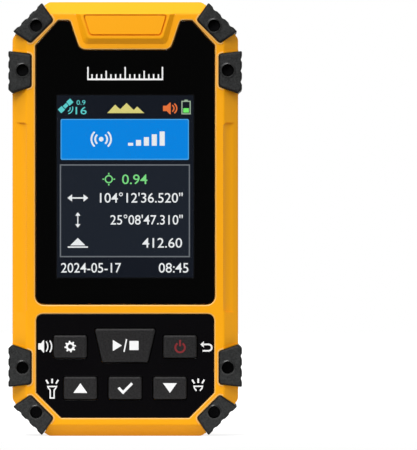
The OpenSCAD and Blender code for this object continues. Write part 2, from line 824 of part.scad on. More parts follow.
module display_cushion() {
  color("#2b2b2d") for (z = [panel_z0 + cushion_in, panel_z1 - cushion_in])
    block(-panel_w / 2 + cushion_side, panel_w / 2 - cushion_side, backlight_y1, board_y0,
      z - cushion_h / 2, z + cushion_h / 2);
}

// Flat flex that folds under the display and lies against the board
module display_flex() {
  y0 = panel_y1 + 0.1;
  z1 = panel_z0;
  z0 = panel_z0 - flex_drop;
  z2 = panel_z0 + flex_tail;
  t = flex_t;
  color("#b4782a") along_x(-flex_w / 2, flex_w / 2)
    polygon([[y0, z1], [y0, z0], [board_y0, z0], [board_y0, z2], [board_y0 - t, z2],
      [board_y0 - t, z0 + t], [y0 + t, z0 + t], [y0 + t, z1]]);
}

module keypad_plate() {
  color(gloss_black) along_y(plate_y0, plate_y1) difference() {
    shape(keypad_outline());
    for (p = key_outlines) shape(grown(p, key_gap));
  }
}

// One key: a cap with sloped edges, a flange behind the case web and a post to its switch
module key(n) {
  color(key_grey) {
    hull() {
      along_y(key_y0, key_y0 + 0.05) shape(grown(key_outlines[n], -key_edge));
      along_y(key_y0 + key_edge, flange_y0 + 0.1) shape(key_outlines[n]);
    }
    along_y(flange_y0, flange_y1) shape(grown(key_outlines[n], key_flange));
    rod_y(key_middles[n][0], key_middles[n][1], 1.5, flange_y1 - 0.1, post_end_y);
  }
}

module settings_key() {
  key(0);
}

module start_key() {
  key(1);
}

module power_key() {
  key(2);
}

module up_key() {
  key(3);
}

module enter_key() {
  key(4);
}

module down_key() {
  key(5);
}

// Silicone sheet that stands on the board by its rim and lets the key posts through
module keypad_mat() {
  w = 2 * (upper_pitch + key_w / 2 + 1.8);
  h = upper_z + wide_h / 2 - lower_z + key_h / 2 + 3;
  m = moved(box_outline(w, h, 2), 0, (upper_z + wide_h / 2 + lower_z - key_h / 2) / 2);
  color("#55585c") difference() {
    along_y(mat_y0, board_y0) shape(m);
    along_y(mat_y0 + mat_t, board_y0 + 1) shape(grown(m, -1));
    for (p = key_middles) rod_y(p[0], p[1], 2, mat_y0 - 1, mat_y0 + 2);
  }
}

module key_switches() {
  for (p = key_middles) {
    h = switch_w / 2;
    color(steel) block(p[0] - h, p[0] + h, switch_cap_y + switch_cap_t, board_y0, p[1] - h, p[1] + h);
    color("#1c1c1e") rod_y(p[0], p[1], switch_cap_r, switch_cap_y, switch_cap_y + switch_cap_t + 0.2);
  }
}

module main_board() {
  x = board_hw;
  c = board_cut;
  color(green) difference() {
    along_y(board_y0, board_y1) shape([
      [c - x, board_z0, 0], [x - c, board_z0, 0], [x, board_z0 + c, 0], [x, board_z1 - c, 0],
      [x - c, board_z1, 0], [c - x, board_z1, 0], [-x, board_z1 - c, 0], [-x, board_z0 + c, 0]]);
    at_board_screws() rod_y(0, 0, board_shank_r + 0.15, board_y0 - 1, board_y1 + 1);
    block(socket_x - socket_len - fit, board_hw + 1, board_y0 - 1, board_y1 + 1,
      port_z - socket_w / 2 - fit, port_z + socket_w / 2 + fit);
  }
}

module board_screws() {
  color(steel) at_board_screws() difference() {
    union() {
      rod_y(0, 0, board_shank_r, board_y0 - board_shank, board_y1 + 0.1);
      rod_y(0, 0, board_head_r, board_y1, board_y1 + board_head_t);
    }
    translate([0, board_y1 + board_head_t + 0.1, 0]) rotate([90, 0, 0]) cylinder(r = 0.8, h = 0.8, $fn = 6);
  }
}

aerial_z = (panel_z1 + board_z1) / 2;

module aerial() {
  color("#c9b48a") block(-aerial_w / 2, aerial_w / 2, board_y0 - aerial_board_t - aerial_t,
    board_y0 - aerial_board_t, aerial_z - aerial_w / 2, aerial_z + aerial_w / 2);
}

module aerial_board() {
  color(green) block(-aerial_w / 2, aerial_w / 2, board_y0 - aerial_board_t, board_y0,
    aerial_z - aerial_w / 2, aerial_z + aerial_w / 2);
}

module receiver_shield() {
  color(steel) block(-shield_w / 2, shield_w / 2, board_y1, board_y1 + shield_t,
    board_z1 - shield_drop - shield_h, board_z1 - shield_drop);
}

module processor() {
  color("#232427") block(-chip_w / 2, chip_w / 2, board_y1, board_y1 + chip_t,
    label_z - chip_drop - chip_w / 2, label_z - chip_drop + chip_w / 2);
}

module battery() {
  color("#3f5f8a") block(-battery_x, battery_x, battery_y0, battery_y1, battery_z0, battery_z1);
}

module battery_pad() {
  color("#2b2b2d")
    block(-battery_x + 3, battery_x - 3, battery_y1, back_in_y, battery_z0 + 4, battery_z1 - 4);
}

lead_x = lead_in - case_hw;
lead_z = battery_z0 - lead_low;

module battery_socket() {
  color("#e8e4d8") block(lead_x - plug_box_w / 2, lead_x + plug_box_w / 2, board_y1, board_y1 + plug_box_t,
    lead_z - plug_box_h / 2, lead_z + plug_box_h / 2);
}

// Two leads that run from the lower edge of the battery down to the socket on the board
module battery_lead() {
  y0 = battery_y0 + 1.2;
  color("#b52a25") for (x = [lead_x - lead_gap / 2, lead_x + lead_gap / 2]) {
    rod_z(x, y0, lead_r, lead_z, battery_z0);
    rod_y(x, lead_z, lead_r, board_y1 + plug_box_t, y0 + 0.7 * lead_r);
  }
}

module speaker() {
  color("#3a3b3e") {
    rod_y(0, speaker_z, speaker_r, back_in_y - speaker_t, back_in_y);
    rod_y(0, speaker_z, speaker_r * 0.6, back_in_y - speaker_t - magnet_t, back_in_y - speaker_t + 0.1);
  }
}

module speaker_mesh() {
  color("#1d1e20") rod_y(0, speaker_z, speaker_r - 1.5, back_in_y, back_in_y + 0.4);
}

// Charging socket: a rounded metal shell, open to the side, with a tongue in it
module charging_socket() {
  color(steel) difference() {
    along_x(socket_x - socket_len, socket_x) translate([port_y, port_z])
      shape(box_outline(socket_t, socket_w, 1.3));
    difference() {
      along_x(socket_x - 6, socket_x + 1) translate([port_y, port_z])
        shape(box_outline(socket_t - 0.6, socket_w - 0.6, 1));
      block(socket_x - 6.5, socket_x - 0.8, port_y - 0.35, port_y + 0.35, port_z - 3.3, port_z + 3.3);
    }
  }
}

// Soft door: a plate with a nail groove, a rolled edge on the hinge pin and a plug that seals the opening
module port_door() {
  z0 = port_z - door_len / 2;
  z1 = port_z + door_len / 2;
  color(rubber) difference() {
    union() {
      block(door_x - door_t, door_x, door_y0, pin_y, z0, z1);
      rod_z(pin_x, pin_y, knuckle_r, z0, z1);
      along_x(case_hw - pocket_in - 0.8, door_x - 0.5) translate([port_y - 0.1, port_z])
        shape(box_outline(plug_t - 1, plug_w - 0.8, plug_t / 2 - 0.7));
    }
    block(door_x - nail_deep, door_x + 1, door_y0 + nail_in, door_y0 + nail_in + nail_w,
      port_z - nail_len / 2, port_z + nail_len / 2);
    rod_z(pin_x, pin_y, pin_r + run, z0 - 1, z1 + 1);
  }
}

module door_pin() {
  color(steel) rod_z(pin_x, pin_y, pin_r - 0.01, port_z - door_len / 2 - 1.3, port_z + door_len / 2 + 1.3);
}

module torch_tube() {
  color("#26272a") difference() {
    rod_z(0, torch_y, torch_r, torch_top - torch_len, torch_top);
    rod_z(0, torch_y, torch_r - torch_wall, torch_top - torch_len + 1.6, torch_top + 1);
  }
}

module torch_lens() {
  color("#dfe7ea") rod_z(0, torch_y, torch_r - torch_wall - run, torch_top - 1.4, torch_top - 0.2);
}

module torch_reflector() {
  r = torch_r - torch_wall - run;
  h = torch_len - 3.2;
  color("#e4e6e8") translate([0, torch_y, torch_top - torch_len + 1.7]) rotate_extrude()
    polygon([[1.3, 0], [r, 0], [r, h], [r - 0.2, h]]);
}

module torch_lamp() {
  z0 = torch_top - torch_len + 1.6;
  color("#f2e9b8") rod_z(0, torch_y, 1.1, z0, z0 + 1.4);
}

module bumper(corner, left, low) {
  pad = corner ? corner_pad() : side_pad();
  well = corner ? corner_well : side_well;
  color(rubber) difference() {
    translate([0, 0, low ? overall_h / 2 : 0]) mirror([0, 0, low ? 1 : 0])
      translate([0, 0, low ? -overall_h / 2 : 0]) mirror([left ? 1 : 0, 0, 0])
      if (corner) at_corner() bumper_block(pad, well);
      else at_side() bumper_block(pad, well);
    difference() {
      case_form(bumper_seat - fit / 2);
      at_bumpers(corner_well, side_well) rod_y(0, 0, peg_r, face_y - 2, peg_y);
    }
  }
}

// One bumper before the case is taken out of it, with its grooves and its screw well
module bumper_block(pad, well) {
  difference() {
    union() {
      hull() {
        along_y(bumper_y0, bumper_y1) shape(grown(pad, -bumper_edge));
        along_y(bumper_y0 + bumper_edge, bumper_y1 - bumper_edge) shape(pad);
      }
      translate([0, bumper_y0 + collar_foot, -well]) rotate([90, 0, 0])
        cylinder(r1 = well_r + collar_w, r2 = well_r + collar_w / 3, h = collar_h + collar_foot);
    }
    for (i = [-1 : 1])
      rod_y(i * groove_pitch, bumper_proud + groove_r - groove_depth, groove_r, bumper_y0 - 1, bumper_y1 + 1);
    rod_y(0, -well, well_r, bumper_y0 - 1, well_floor_y);
    rod_y(0, -well, bumper_shank_r + 0.15, bumper_y0 - 1, peg_y + 1);
  }
}

module corner_bumper_upper_left() {
  bumper(true, true, false);
}

module corner_bumper_upper_right() {
  bumper(true, false, false);
}

module corner_bumper_lower_left() {
  bumper(true, true, true);
}

module corner_bumper_lower_right() {
  bumper(true, false, true);
}

module side_bumper_upper_left() {
  bumper(false, true, false);
}

module side_bumper_upper_right() {
  bumper(false, false, false);
}

module side_bumper_lower_left() {
  bumper(false, true, true);
}

module side_bumper_lower_right() {
  bumper(false, false, true);
}

module bumper_screws() {
  color("#2c2d2f") at_bumpers(corner_well, side_well) difference() {
    union() {
      rod_y(0, 0, bumper_shank_r, well_floor_y - 0.1, bumper_post_y - 0.6);
      rod_y(0, 0, bumper_head_r, well_floor_y - bumper_head_t, well_floor_y);
    }
    translate([0, well_floor_y - 0.6, 0]) rotate([90, 0, 0]) cylinder(r = 0.95, h = 2, $fn = 6);
  }
}

module case_screws() {
  color(steel) at_case_screws() difference() {
    union() {
      rod_y(0, 0, case_shank_r, parting_y - insert_len + 0.4, head_seat_y + 0.1);
      rod_y(0, 0, head_r, head_seat_y, head_seat_y + head_t);
    }
    translate([0, head_seat_y + head_t + 1, 0]) rotate([90, 0, 0]) cylinder(r = 1.1, h = 2, $fn = 6);
  }
}

module case_inserts() {
  color("#b8913f") at_case_screws() difference() {
    rod_y(0, 0, insert_r, parting_y - insert_len, parting_y);
    rod_y(0, 0, case_shank_r + run, parting_y - insert_len - 1, parting_y + 1);
  }
}

module strap_bar() {
  reach = notch_w / 2 + bar_hold - 0.1;
  color(steel) rod_x(bar_y, bar_z, bar_r, notch_x - reach, notch_x + reach);
}

module label_plate() {
  color("#d9dadb") along_y(back_y - 0.5, back_y - 0.15) translate([0, label_z])
    shape(box_outline(label_w, label_h, 1.9));
}

front_case();
back_case();
case_seal();
crown_panel();
display_window();
window_mask();
window_tape();
display_panel();
display_backlight();
display_cushion();
display_flex();
keypad_plate();
settings_key();
start_key();
power_key();
up_key();
enter_key();
down_key();
keypad_mat();
key_switches();
main_board();
board_screws();
aerial();
aerial_board();
receiver_shield();
processor();
battery();
battery_pad();
battery_socket();
battery_lead();
speaker();
speaker_mesh();
charging_socket();
port_door();
door_pin();
torch_tube();
torch_lens();
torch_reflector();
torch_lamp();
corner_bumper_upper_left();
corner_bumper_upper_right();
corner_bumper_lower_left();
corner_bumper_lower_right();
side_bumper_upper_left();
side_bumper_upper_right();
side_bumper_lower_left();
side_bumper_lower_right();
bumper_screws();
case_screws();
case_inserts();
strap_bar();
label_plate();
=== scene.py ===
"""Looks of the hand-held land area meter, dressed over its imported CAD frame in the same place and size."""
import json
import math

import bmesh
import bpy
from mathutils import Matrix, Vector


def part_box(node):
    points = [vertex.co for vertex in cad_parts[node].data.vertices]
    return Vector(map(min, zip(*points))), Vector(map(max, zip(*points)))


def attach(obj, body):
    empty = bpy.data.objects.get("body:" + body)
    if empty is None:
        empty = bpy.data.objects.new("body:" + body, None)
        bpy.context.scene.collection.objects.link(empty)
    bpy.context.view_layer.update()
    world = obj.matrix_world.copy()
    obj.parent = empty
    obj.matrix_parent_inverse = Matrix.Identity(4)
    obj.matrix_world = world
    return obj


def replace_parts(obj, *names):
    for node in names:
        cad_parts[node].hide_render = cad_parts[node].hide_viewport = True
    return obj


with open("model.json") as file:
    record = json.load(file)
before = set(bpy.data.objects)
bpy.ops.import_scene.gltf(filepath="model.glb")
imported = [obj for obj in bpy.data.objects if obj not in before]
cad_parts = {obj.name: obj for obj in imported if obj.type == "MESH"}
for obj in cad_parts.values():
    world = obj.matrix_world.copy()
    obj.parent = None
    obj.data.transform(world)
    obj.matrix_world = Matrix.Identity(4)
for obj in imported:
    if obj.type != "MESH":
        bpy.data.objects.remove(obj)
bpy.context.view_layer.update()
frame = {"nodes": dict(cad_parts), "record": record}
bpy.ops.object.select_all(action="DESELECT")

MM = 0.001

# Sizes that the CAD source gives, in millimetres; the front of the meter looks towards -Y
CASE_FACE = -13.5
LIP_RISE = 0.15
COLLAR_RISE = 0.3
PANEL_BORDER = 2.2

# Lit area of a 2.8 inch display panel, in millimetres
LIT_W = 43.2
LIT_H = 57.6


def front_of(node):
    """The Y of a node's front, in millimetres."""
    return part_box(node)[0].y / MM


def back_of(node):
    """The Y of a node's back, in millimetres."""
    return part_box(node)[1].y / MM


# Places that follow from these sizes and from the frame, in millimetres
PLATE_FACE = front_of("keypad_plate")
KEY_FACE = front_of("enter_key")
PANEL_FACE = front_of("display_panel")
WINDOW_FACE = front_of("display_window")
CROWN_FACE = front_of("front_case")
BACK_FACE = back_of("back_case")
SCREW_TOP = back_of("case_screws")
BUMPER_FACE = front_of("side_bumper_upper_left") + COLLAR_RISE
LIP_TOP = CASE_FACE - LIP_RISE
LIT_LEFT = -LIT_W / 2
LIT_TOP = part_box("display_panel")[1].z / MM - PANEL_BORDER


# Camera, lights and floor

# The height that the photograph's frame spans on the front face of the case, in metres
PHOTO_VIEW = 0.14229
CAMERA_AT = Vector((0.02635, -2.5, 0.0668))
FACE_DISTANCE = CASE_FACE * MM - CAMERA_AT.y
CAMERA_REACH = 50
SENSOR = 36.0

bpy.ops.object.camera_add(location=CAMERA_AT, rotation=(math.radians(90), 0, 0))
camera = bpy.context.object
camera.data.sensor_width = SENSOR
camera.data.lens = SENSOR * FACE_DISTANCE / PHOTO_VIEW
camera.data.clip_end = CAMERA_REACH
bpy.context.scene.camera = camera
bpy.context.scene.view_settings.view_transform = "Standard"


def linear(code):
    """The linear colour for a shader socket, from an sRGB hex value."""
    channels = [int(code[i:i + 2], 16) / 255 for i in (1, 3, 5)]
    return [c / 12.92 if c <= 0.04045 else ((c + 0.055) / 1.055) ** 2.4 for c in channels] + [1.0]


def add(tree, kind, settings=None, links=None):
    """Adds one node, gives its sockets and properties their values, and links sockets to other nodes."""
    node = tree.nodes.new(kind)
    for key, value in (settings or {}).items():
        if isinstance(key, int) or key in node.inputs:
            node.inputs[key].default_value = value
        else:
            setattr(node, key, value)
    for key, source in (links or {}).items():
        tree.links.new(source, node.inputs[key])
    return node


def new_tree(name):
    """A new material with an empty node tree."""
    material = bpy.data.materials.new(name)
    material.use_nodes = True
    material.node_tree.nodes.clear()
    return material, material.node_tree


def in_gloss(tree, ray):
    """A value of 1 on the rays that metal and glass send on, from a Light Path node."""
    return add(tree, "ShaderNodeMath", {"operation": "MAXIMUM"},
               {0: ray.outputs["Is Glossy Ray"], 1: ray.outputs["Is Transmission Ray"]})


# Even light from above and from below, and the heights of the band where one turns into the other
AMBIENT_UP = 0.56
AMBIENT_DOWN = 0.1
BAND_LOW = -0.4
BAND_HIGH = 0.1
# Level of the dark wall in reflections, and the directions along Y between which it fades out
WALL_DARK = 0.05
WALL_FROM = -0.9
WALL_TO = 0.15
# The overhead light's level, where it comes from and its width in degrees; the lamp's power, side and place,
# and the point that it looks at
SUN_LEVEL = 1.45
SUN_FROM = Vector((-0.157, -0.21, 0.817))
SUN_ANGLE = 30
LAMP_WATTS = 1.45
LAMP_SIZE = 0.25
LAMP_AT = Vector((-0.12, -0.4, 0.38))
MIDDLE = Vector((0, 0, 0.07))

# A soft light from high overhead, and a square lamp in front, above and to the left
bpy.ops.object.light_add(type="SUN", location=(0, 0, 2))
sun = bpy.context.object
sun.data.energy = SUN_LEVEL
sun.data.angle = math.radians(SUN_ANGLE)
sun.rotation_euler = SUN_FROM.to_track_quat("Z", "Y").to_euler()
bpy.ops.object.light_add(type="AREA", location=LAMP_AT)
lamp = bpy.context.object
lamp.data.energy = LAMP_WATTS
lamp.data.size = LAMP_SIZE
lamp.rotation_euler = (LAMP_AT - MIDDLE).to_track_quat("Z", "Y").to_euler()

# The studio: white to the camera, an even grey for the soft light, and for reflections
# white all round with a dark wall behind the camera, which keeps the black window black
world = bpy.data.worlds.new("studio")
world.use_nodes = True
bpy.context.scene.world = world
tree = world.node_tree
tree.nodes.clear()
ray = add(tree, "ShaderNodeLightPath")
way = add(tree, "ShaderNodeTexCoord")
part = add(tree, "ShaderNodeSeparateXYZ", {}, {0: way.outputs["Generated"]})
wall = add(tree, "ShaderNodeMapRange",
           {"interpolation_type": "SMOOTHSTEP", 1: WALL_FROM, 2: WALL_TO, 3: WALL_DARK, 4: 1.0},
           {0: part.outputs["Y"]})
even = add(tree, "ShaderNodeMapRange", {1: BAND_LOW, 2: BAND_HIGH, 3: AMBIENT_DOWN, 4: AMBIENT_UP},
           {0: part.outputs["Z"]})
shiny = in_gloss(tree, ray)
soft = add(tree, "ShaderNodeMix", {}, {0: shiny.outputs[0], 2: even.outputs[0], 3: wall.outputs[0]})
seen = add(tree, "ShaderNodeMix", {3: 1.0}, {0: ray.outputs["Is Camera Ray"], 2: soft.outputs[0]})
back = add(tree, "ShaderNodeBackground", {"Strength": 1.0}, {"Color": seen.outputs[0]})
add(tree, "ShaderNodeOutputWorld", {}, {"Surface": back.outputs[0]})

# The floor: its front edge lies this far before the meter's middle, and it is a hair lower than the meter,
# so that their faces share no plane
FLOOR_R = 1.2
FLOOR_SIDES = 96
FLOOR_FRONT = 0.07
FLOOR_DOWN = 0.02 * MM
FLOOR_PALE = 0.4
FLOOR_LIT = 0.3
FLOOR_GLOW = 0.82

# Painted floor, lit from below: a pale matt sheet that keeps the shadow; to the camera and in
# reflections it is lifted to the white of the background. From underneath it is clear, so that the
# bottom end of the meter can be looked at.
floor_paint, tree = new_tree("matt_floor_paint")
ray = add(tree, "ShaderNodeLightPath")
shiny = in_gloss(tree, ray)
looked = add(tree, "ShaderNodeMath", {"operation": "MAXIMUM"},
             {0: ray.outputs["Is Camera Ray"], 1: shiny.outputs[0]})
glow = add(tree, "ShaderNodeMapRange", {1: 0.0, 2: 1.0, 3: FLOOR_LIT, 4: FLOOR_GLOW}, {0: looked.outputs[0]})
sheet = add(tree, "ShaderNodeBsdfDiffuse", {"Color": (FLOOR_PALE, FLOOR_PALE, FLOOR_PALE, 1)})
lift = add(tree, "ShaderNodeEmission", {}, {"Strength": glow.outputs[0]})
both = add(tree, "ShaderNodeAddShader", {}, {0: sheet.outputs[0], 1: lift.outputs[0]})
under = add(tree, "ShaderNodeNewGeometry").outputs["Backfacing"]
open_side = add(tree, "ShaderNodeBsdfTransparent")
sides = add(tree, "ShaderNodeMixShader", {}, {0: under, 1: both.outputs[0], 2: open_side.outputs[0]})
add(tree, "ShaderNodeOutputMaterial", {}, {"Surface": sides.outputs[0]})

bpy.ops.mesh.primitive_circle_add(vertices=FLOOR_SIDES, radius=FLOOR_R, fill_type="NGON",
                                  location=(0, FLOOR_R - FLOOR_FRONT, -FLOOR_DOWN))
floor = bpy.context.object
floor.name = "floor"
floor.data.materials.append(floor_paint)


# Materials. Each noise is scaled from a size in millimetres on Object coordinates, which are in metres.

# Most of a noise lies between these values
NOISE_LOW = 0.3
NOISE_HIGH = 0.7


def moulded(name, base, second, rough, grain, depth, patch=16.0, spread=0.5, **sockets):
    """A moulded or cast surface: patches of a second tone, fine grain in the gloss and in the relief.

    A small spread parts the two tones sharply, a spread of 0.5 lets them run into each other.
    """
    material, tree = new_tree(name)
    place = add(tree, "ShaderNodeTexCoord").outputs["Object"]
    tone = add(tree, "ShaderNodeTexNoise", {"Scale": 1 / (patch * MM), "Detail": 3.0}, {"Vector": place})
    fine = add(tree, "ShaderNodeTexNoise", {"Scale": 1 / (grain * MM), "Detail": 2.0}, {"Vector": place})
    share = add(tree, "ShaderNodeMapRange", {1: 0.5 - spread, 2: 0.5 + spread}, {0: tone.outputs[0]})
    colour = add(tree, "ShaderNodeMix", {"data_type": "RGBA", 6: linear(base), 7: linear(second)},
                 {0: share.outputs[0]})
    gloss = add(tree, "ShaderNodeMapRange", {1: NOISE_LOW, 2: NOISE_HIGH, 3: rough[0], 4: rough[1]},
                {0: fine.outputs[0]})
    relief = add(tree, "ShaderNodeBump", {"Strength": 1.0, "Distance": depth * MM},
                 {"Height": fine.outputs[0]})
    shell = add(tree, "ShaderNodeBsdfPrincipled", sockets,
                {"Base Color": colour.outputs[2], "Roughness": gloss.outputs[0], "Normal": relief.outputs[0]})
    add(tree, "ShaderNodeOutputMaterial", {}, {"Surface": shell.outputs[0]})
    return material


def plated(name, base, second, rough, along, across, **sockets):
    """A metal drawn or turned in one direction: streaks in its tone and in its gloss."""
    material, tree = new_tree(name)
    place = add(tree, "ShaderNodeTexCoord").outputs["Object"]
    drawn = add(tree, "ShaderNodeMapping",
                {"Scale": (1 / (across * MM), 1 / (along * MM), 1 / (across * MM))}, {"Vector": place})
    streak = add(tree, "ShaderNodeTexNoise", {"Scale": 1.0, "Detail": 3.0}, {"Vector": drawn.outputs[0]})
    colour = add(tree, "ShaderNodeMix", {"data_type": "RGBA", 6: linear(base), 7: linear(second)},
                 {0: streak.outputs[0]})
    gloss = add(tree, "ShaderNodeMapRange", {1: NOISE_LOW, 2: NOISE_HIGH, 3: rough[0], 4: rough[1]},
                {0: streak.outputs[0]})
    shell = add(tree, "ShaderNodeBsdfPrincipled", {"Metallic": 1.0, **sockets},
                {"Base Color": colour.outputs[2], "Roughness": gloss.outputs[0]})
    add(tree, "ShaderNodeOutputMaterial", {}, {"Surface": shell.outputs[0]})
    return material


def clear(name, colour, ior, ripple, rough):
    """A clear polished plastic, whose polish is a little softer in places a ripple apart."""
    material, tree = new_tree(name)
    place = add(tree, "ShaderNodeTexCoord").outputs["Object"]
    polish = add(tree, "ShaderNodeTexNoise", {"Scale": 1 / (ripple * MM), "Detail": 2.0}, {"Vector": place})
    gloss = add(tree, "ShaderNodeMapRange", {1: NOISE_LOW, 2: NOISE_HIGH, 3: rough[0], 4: rough[1]},
                {0: polish.outputs[0]})
    shell = add(tree, "ShaderNodeBsdfPrincipled",
                {"Base Color": linear(colour), "IOR": ior, "Transmission Weight": 1.0},
                {"Roughness": gloss.outputs[0]})
    add(tree, "ShaderNodeOutputMaterial", {}, {"Surface": shell.outputs[0]})
    return material


# Cell of the picture in millimetres, and the light of its dimmer and its brighter cells
PIXEL = 0.18
PIXEL_DIM = 0.97
PIXEL_BRIGHT = 1.03


def lit(name, colour, strength=1.06):
    """Lit picture elements in 0.18 mm cells, every second one a little brighter.

    They are bonded to the glass in front of them, so they have no gloss of their own.
    """
    material, tree = new_tree(name)
    place = add(tree, "ShaderNodeTexCoord").outputs["Object"]
    cells = add(tree, "ShaderNodeTexChecker", {"Scale": 1 / (PIXEL * MM)}, {"Vector": place})
    dip = add(tree, "ShaderNodeMapRange", {1: 0.0, 2: 1.0, 3: PIXEL_DIM, 4: PIXEL_BRIGHT},
              {0: cells.outputs[1]})
    glow = add(tree, "ShaderNodeMix",
               {"data_type": "RGBA", "blend_type": "MULTIPLY", 0: 1.0, 6: linear(colour)},
               {7: dip.outputs[0]})
    shell = add(tree, "ShaderNodeBsdfPrincipled",
                {"Base Color": linear("#050506"), "Roughness": 0.3, "Specular IOR Level": 0.0,
                 "Emission Strength": strength},
                {"Emission Color": glow.outputs[2]})
    add(tree, "ShaderNodeOutputMaterial", {}, {"Surface": shell.outputs[0]})
    return material


# ABS from a spark-eroded mould: a satin amber skin with a grain of about 0.4 mm
amber_abs = moulded("moulded_amber_abs", "#ffae04", "#ffaa02", (0.42, 0.52), 0.4, 0.006, patch=22.0,
                    **{"Specular IOR Level": 0.2})
# Painted highlight: the same ABS in a paler, slightly glossier tone, put on rounded edges and lip tops, where
# it reads as a thin paler line
amber_painted_highlight = moulded("amber_abs_painted_highlight", "#fcc064", "#f8bb5c", (0.36, 0.42), 0.4, 0.002, patch=22.0)
# Styrene rubber moulded in a blasted tool: dull, charcoal, speckled by a grain of about half a millimetre
bumper_rubber = moulded("moulded_bumper_rubber", "#131414", "#323333", (0.58, 0.7), 0.35, 0.012, patch=0.42,
                        spread=0.2, **{"Specular IOR Level": 0.3})
# The same rubber on the collars, which a polished pin moulds: smooth, so that they catch the light from above
collar_rubber = moulded("polished_bumper_rubber", "#070707", "#0b0b0b", (0.26, 0.31), 0.35, 0.001, patch=7.0)
# Painted shade round the edge of each bumper, below the blasted face: the same rubber in near black, a little
# smoother and without bloom
bumper_edge_painted_shade = moulded("bumper_edge_painted_shade_rubber", "#0c0d0d", "#101111", (0.5, 0.6), 0.35, 0.004, patch=7.0,
                      **{"Specular IOR Level": 0.2})
# Silicone rubber keys under a matt lacquer: dark grey, with the fine speckle of the lacquer
key_rubber = moulded("lacquered_silicone", "#131213", "#2a292a", (0.5, 0.6), 0.3, 0.006, patch=0.5,
                     spread=0.16, **{"Specular IOR Level": 0.25})
# Polycarbonate plate with a gloss hard coat over black print: almost no relief
plate_gloss = moulded("gloss_polycarbonate", "#050406", "#070608", (0.03, 0.06), 1.6, 0.0001, patch=12.0)
# Black ink screened on the back of the window: seen through it as an even black
black_print = moulded("screened_black_ink", "#050505", "#070708", (0.5, 0.6), 0.12, 0.002, patch=9.0)
# Closed-cell foam on a film: dull and pitted
foam_tape = moulded("closed_cell_foam", "#242426", "#2c2c2e", (0.8, 0.95), 0.3, 0.04, patch=3.0)
# Thin glass with its polariser: dark and smooth
display_glass = moulded("polarised_glass", "#0c0e12", "#101318", (0.05, 0.1), 2.0, 0.0004)
# Nylon moulded in white: slightly warm, with a soft sheen
white_plastic = moulded("moulded_white_nylon", "#dcdad4", "#e4e2dc", (0.4, 0.52), 0.3, 0.004)
# Polyimide film over copper: amber brown, with the tracks showing as bands
flex_film = moulded("polyimide_film", "#a8661f", "#bd7c2b", (0.3, 0.42), 0.5, 0.003, patch=1.2)
# Silicone moulded in grey: soft and dull
silicone = moulded("moulded_grey_silicone", "#4a4c4e", "#525456", (0.55, 0.66), 0.4, 0.006)
# Zinc-plated steel, drawn: light grey with fine streaks
steel = plated("zinc_plated_steel", "#8e9092", "#a4a6a8", (0.26, 0.4), 2.0, 0.12)
# Black oxide on steel: dark and oily, with worn streaks; also put on the walls of the case screws' drive
# recesses as painted shade
black_steel = plated("black_oxide_steel_and_painted_shade", "#131314", "#1c1c1d", (0.38, 0.5), 0.5, 0.15)
# Turned brass: yellow with fine turning marks
brass = plated("turned_brass", "#b8913f", "#c9a24c", (0.25, 0.36), 0.1, 0.6)
# Fired dielectric ceramic: cream, dull, slightly speckled
ceramic = moulded("fired_ceramic", "#cdb78c", "#d6c29a", (0.45, 0.6), 0.25, 0.008, patch=1.5)
# Filled epoxy moulding compound: near black and matt
epoxy_black = moulded("filled_epoxy", "#222224", "#29292b", (0.55, 0.68), 0.2, 0.006, patch=2.0)
# Shrunk PVC sleeve: blue with soft gloss
battery_wrap = moulded("shrunk_pvc_sleeve", "#35598c", "#3d6296", (0.28, 0.4), 1.5, 0.01)
# Extruded PVC insulation: red with a soft gloss
lead_red = moulded("extruded_red_pvc", "#b52a25", "#bd322c", (0.35, 0.45), 0.4, 0.004)
# Vapour-coated aluminium on plastic: bright, with a faint ripple
reflector_metal = plated("vapour_coated_aluminium", "#e4e4e6", "#ececee", (0.06, 0.12), 1.0, 1.0)
# Phosphor in clear silicone over a lamp die: pale yellow and grainy
lamp_phosphor = moulded("phosphor_silicone", "#f0e4a4", "#f4e9b4", (0.3, 0.4), 0.15, 0.004, patch=0.6)
# Brushed aluminium foil label under a matt film: pale grey with fine lines across
label_film = plated("brushed_foil_label", "#c4c6c8", "#d0d1d3", (0.34, 0.46), 0.3, 6.0, Metallic=0.7)

# Cast acrylic: clear and polished, with a trace of softness in its polish
clear_acrylic = clear("cast_acrylic", "#fafbfb", 1.49, 9.0, (0.0, 0.02))
# Moulded polycarbonate lens: clear with a slightly softer polish than the window
clear_lens = clear("moulded_polycarbonate_lens", "#f2f5f6", 1.58, 1.2, (0.02, 0.06))

# Glass-epoxy laminate under green resist: the copper between cells of 2.4 mm shows through as a lighter green.
# It starts and is full at these distances, as shares of a cell, and stands out by this many millimetres.
BOARD_CELL = 2.4
COPPER_FROM = 0.34
COPPER_FULL = 0.4
COPPER_RISE = 0.02
circuit_board, tree = new_tree("resist_on_laminate")
place = add(tree, "ShaderNodeTexCoord").outputs["Object"]
tracks = add(tree, "ShaderNodeTexVoronoi", {"distance": "MANHATTAN", "Scale": 1 / (BOARD_CELL * MM)},
             {"Vector": place})
edge = add(tree, "ShaderNodeMapRange", {1: COPPER_FROM, 2: COPPER_FULL, 3: 0.0, 4: 1.0},
           {0: tracks.outputs["Distance"]})
colour = add(tree, "ShaderNodeMix", {"data_type": "RGBA", 6: linear("#1c4a31"), 7: linear("#2b6644")},
             {0: edge.outputs[0]})
relief = add(tree, "ShaderNodeBump", {"Strength": 1.0, "Distance": COPPER_RISE * MM},
             {"Height": edge.outputs[0]})
shell = add(tree, "ShaderNodeBsdfPrincipled", {"Roughness": 0.32},
            {"Base Color": colour.outputs[2], "Normal": relief.outputs[0]})
add(tree, "ShaderNodeOutputMaterial", {}, {"Surface": shell.outputs[0]})

# Pad-printed inks: opaque and matt, with a soft mottle from the pad
white_ink = moulded("pad_printed_white_ink", "#f6f6f6", "#fcfcfc", (0.45, 0.55), 0.2, 0.002, patch=1.0)
red_ink = moulded("pad_printed_red_ink", "#7c1219", "#86181f", (0.45, 0.55), 0.2, 0.002, patch=1.0)

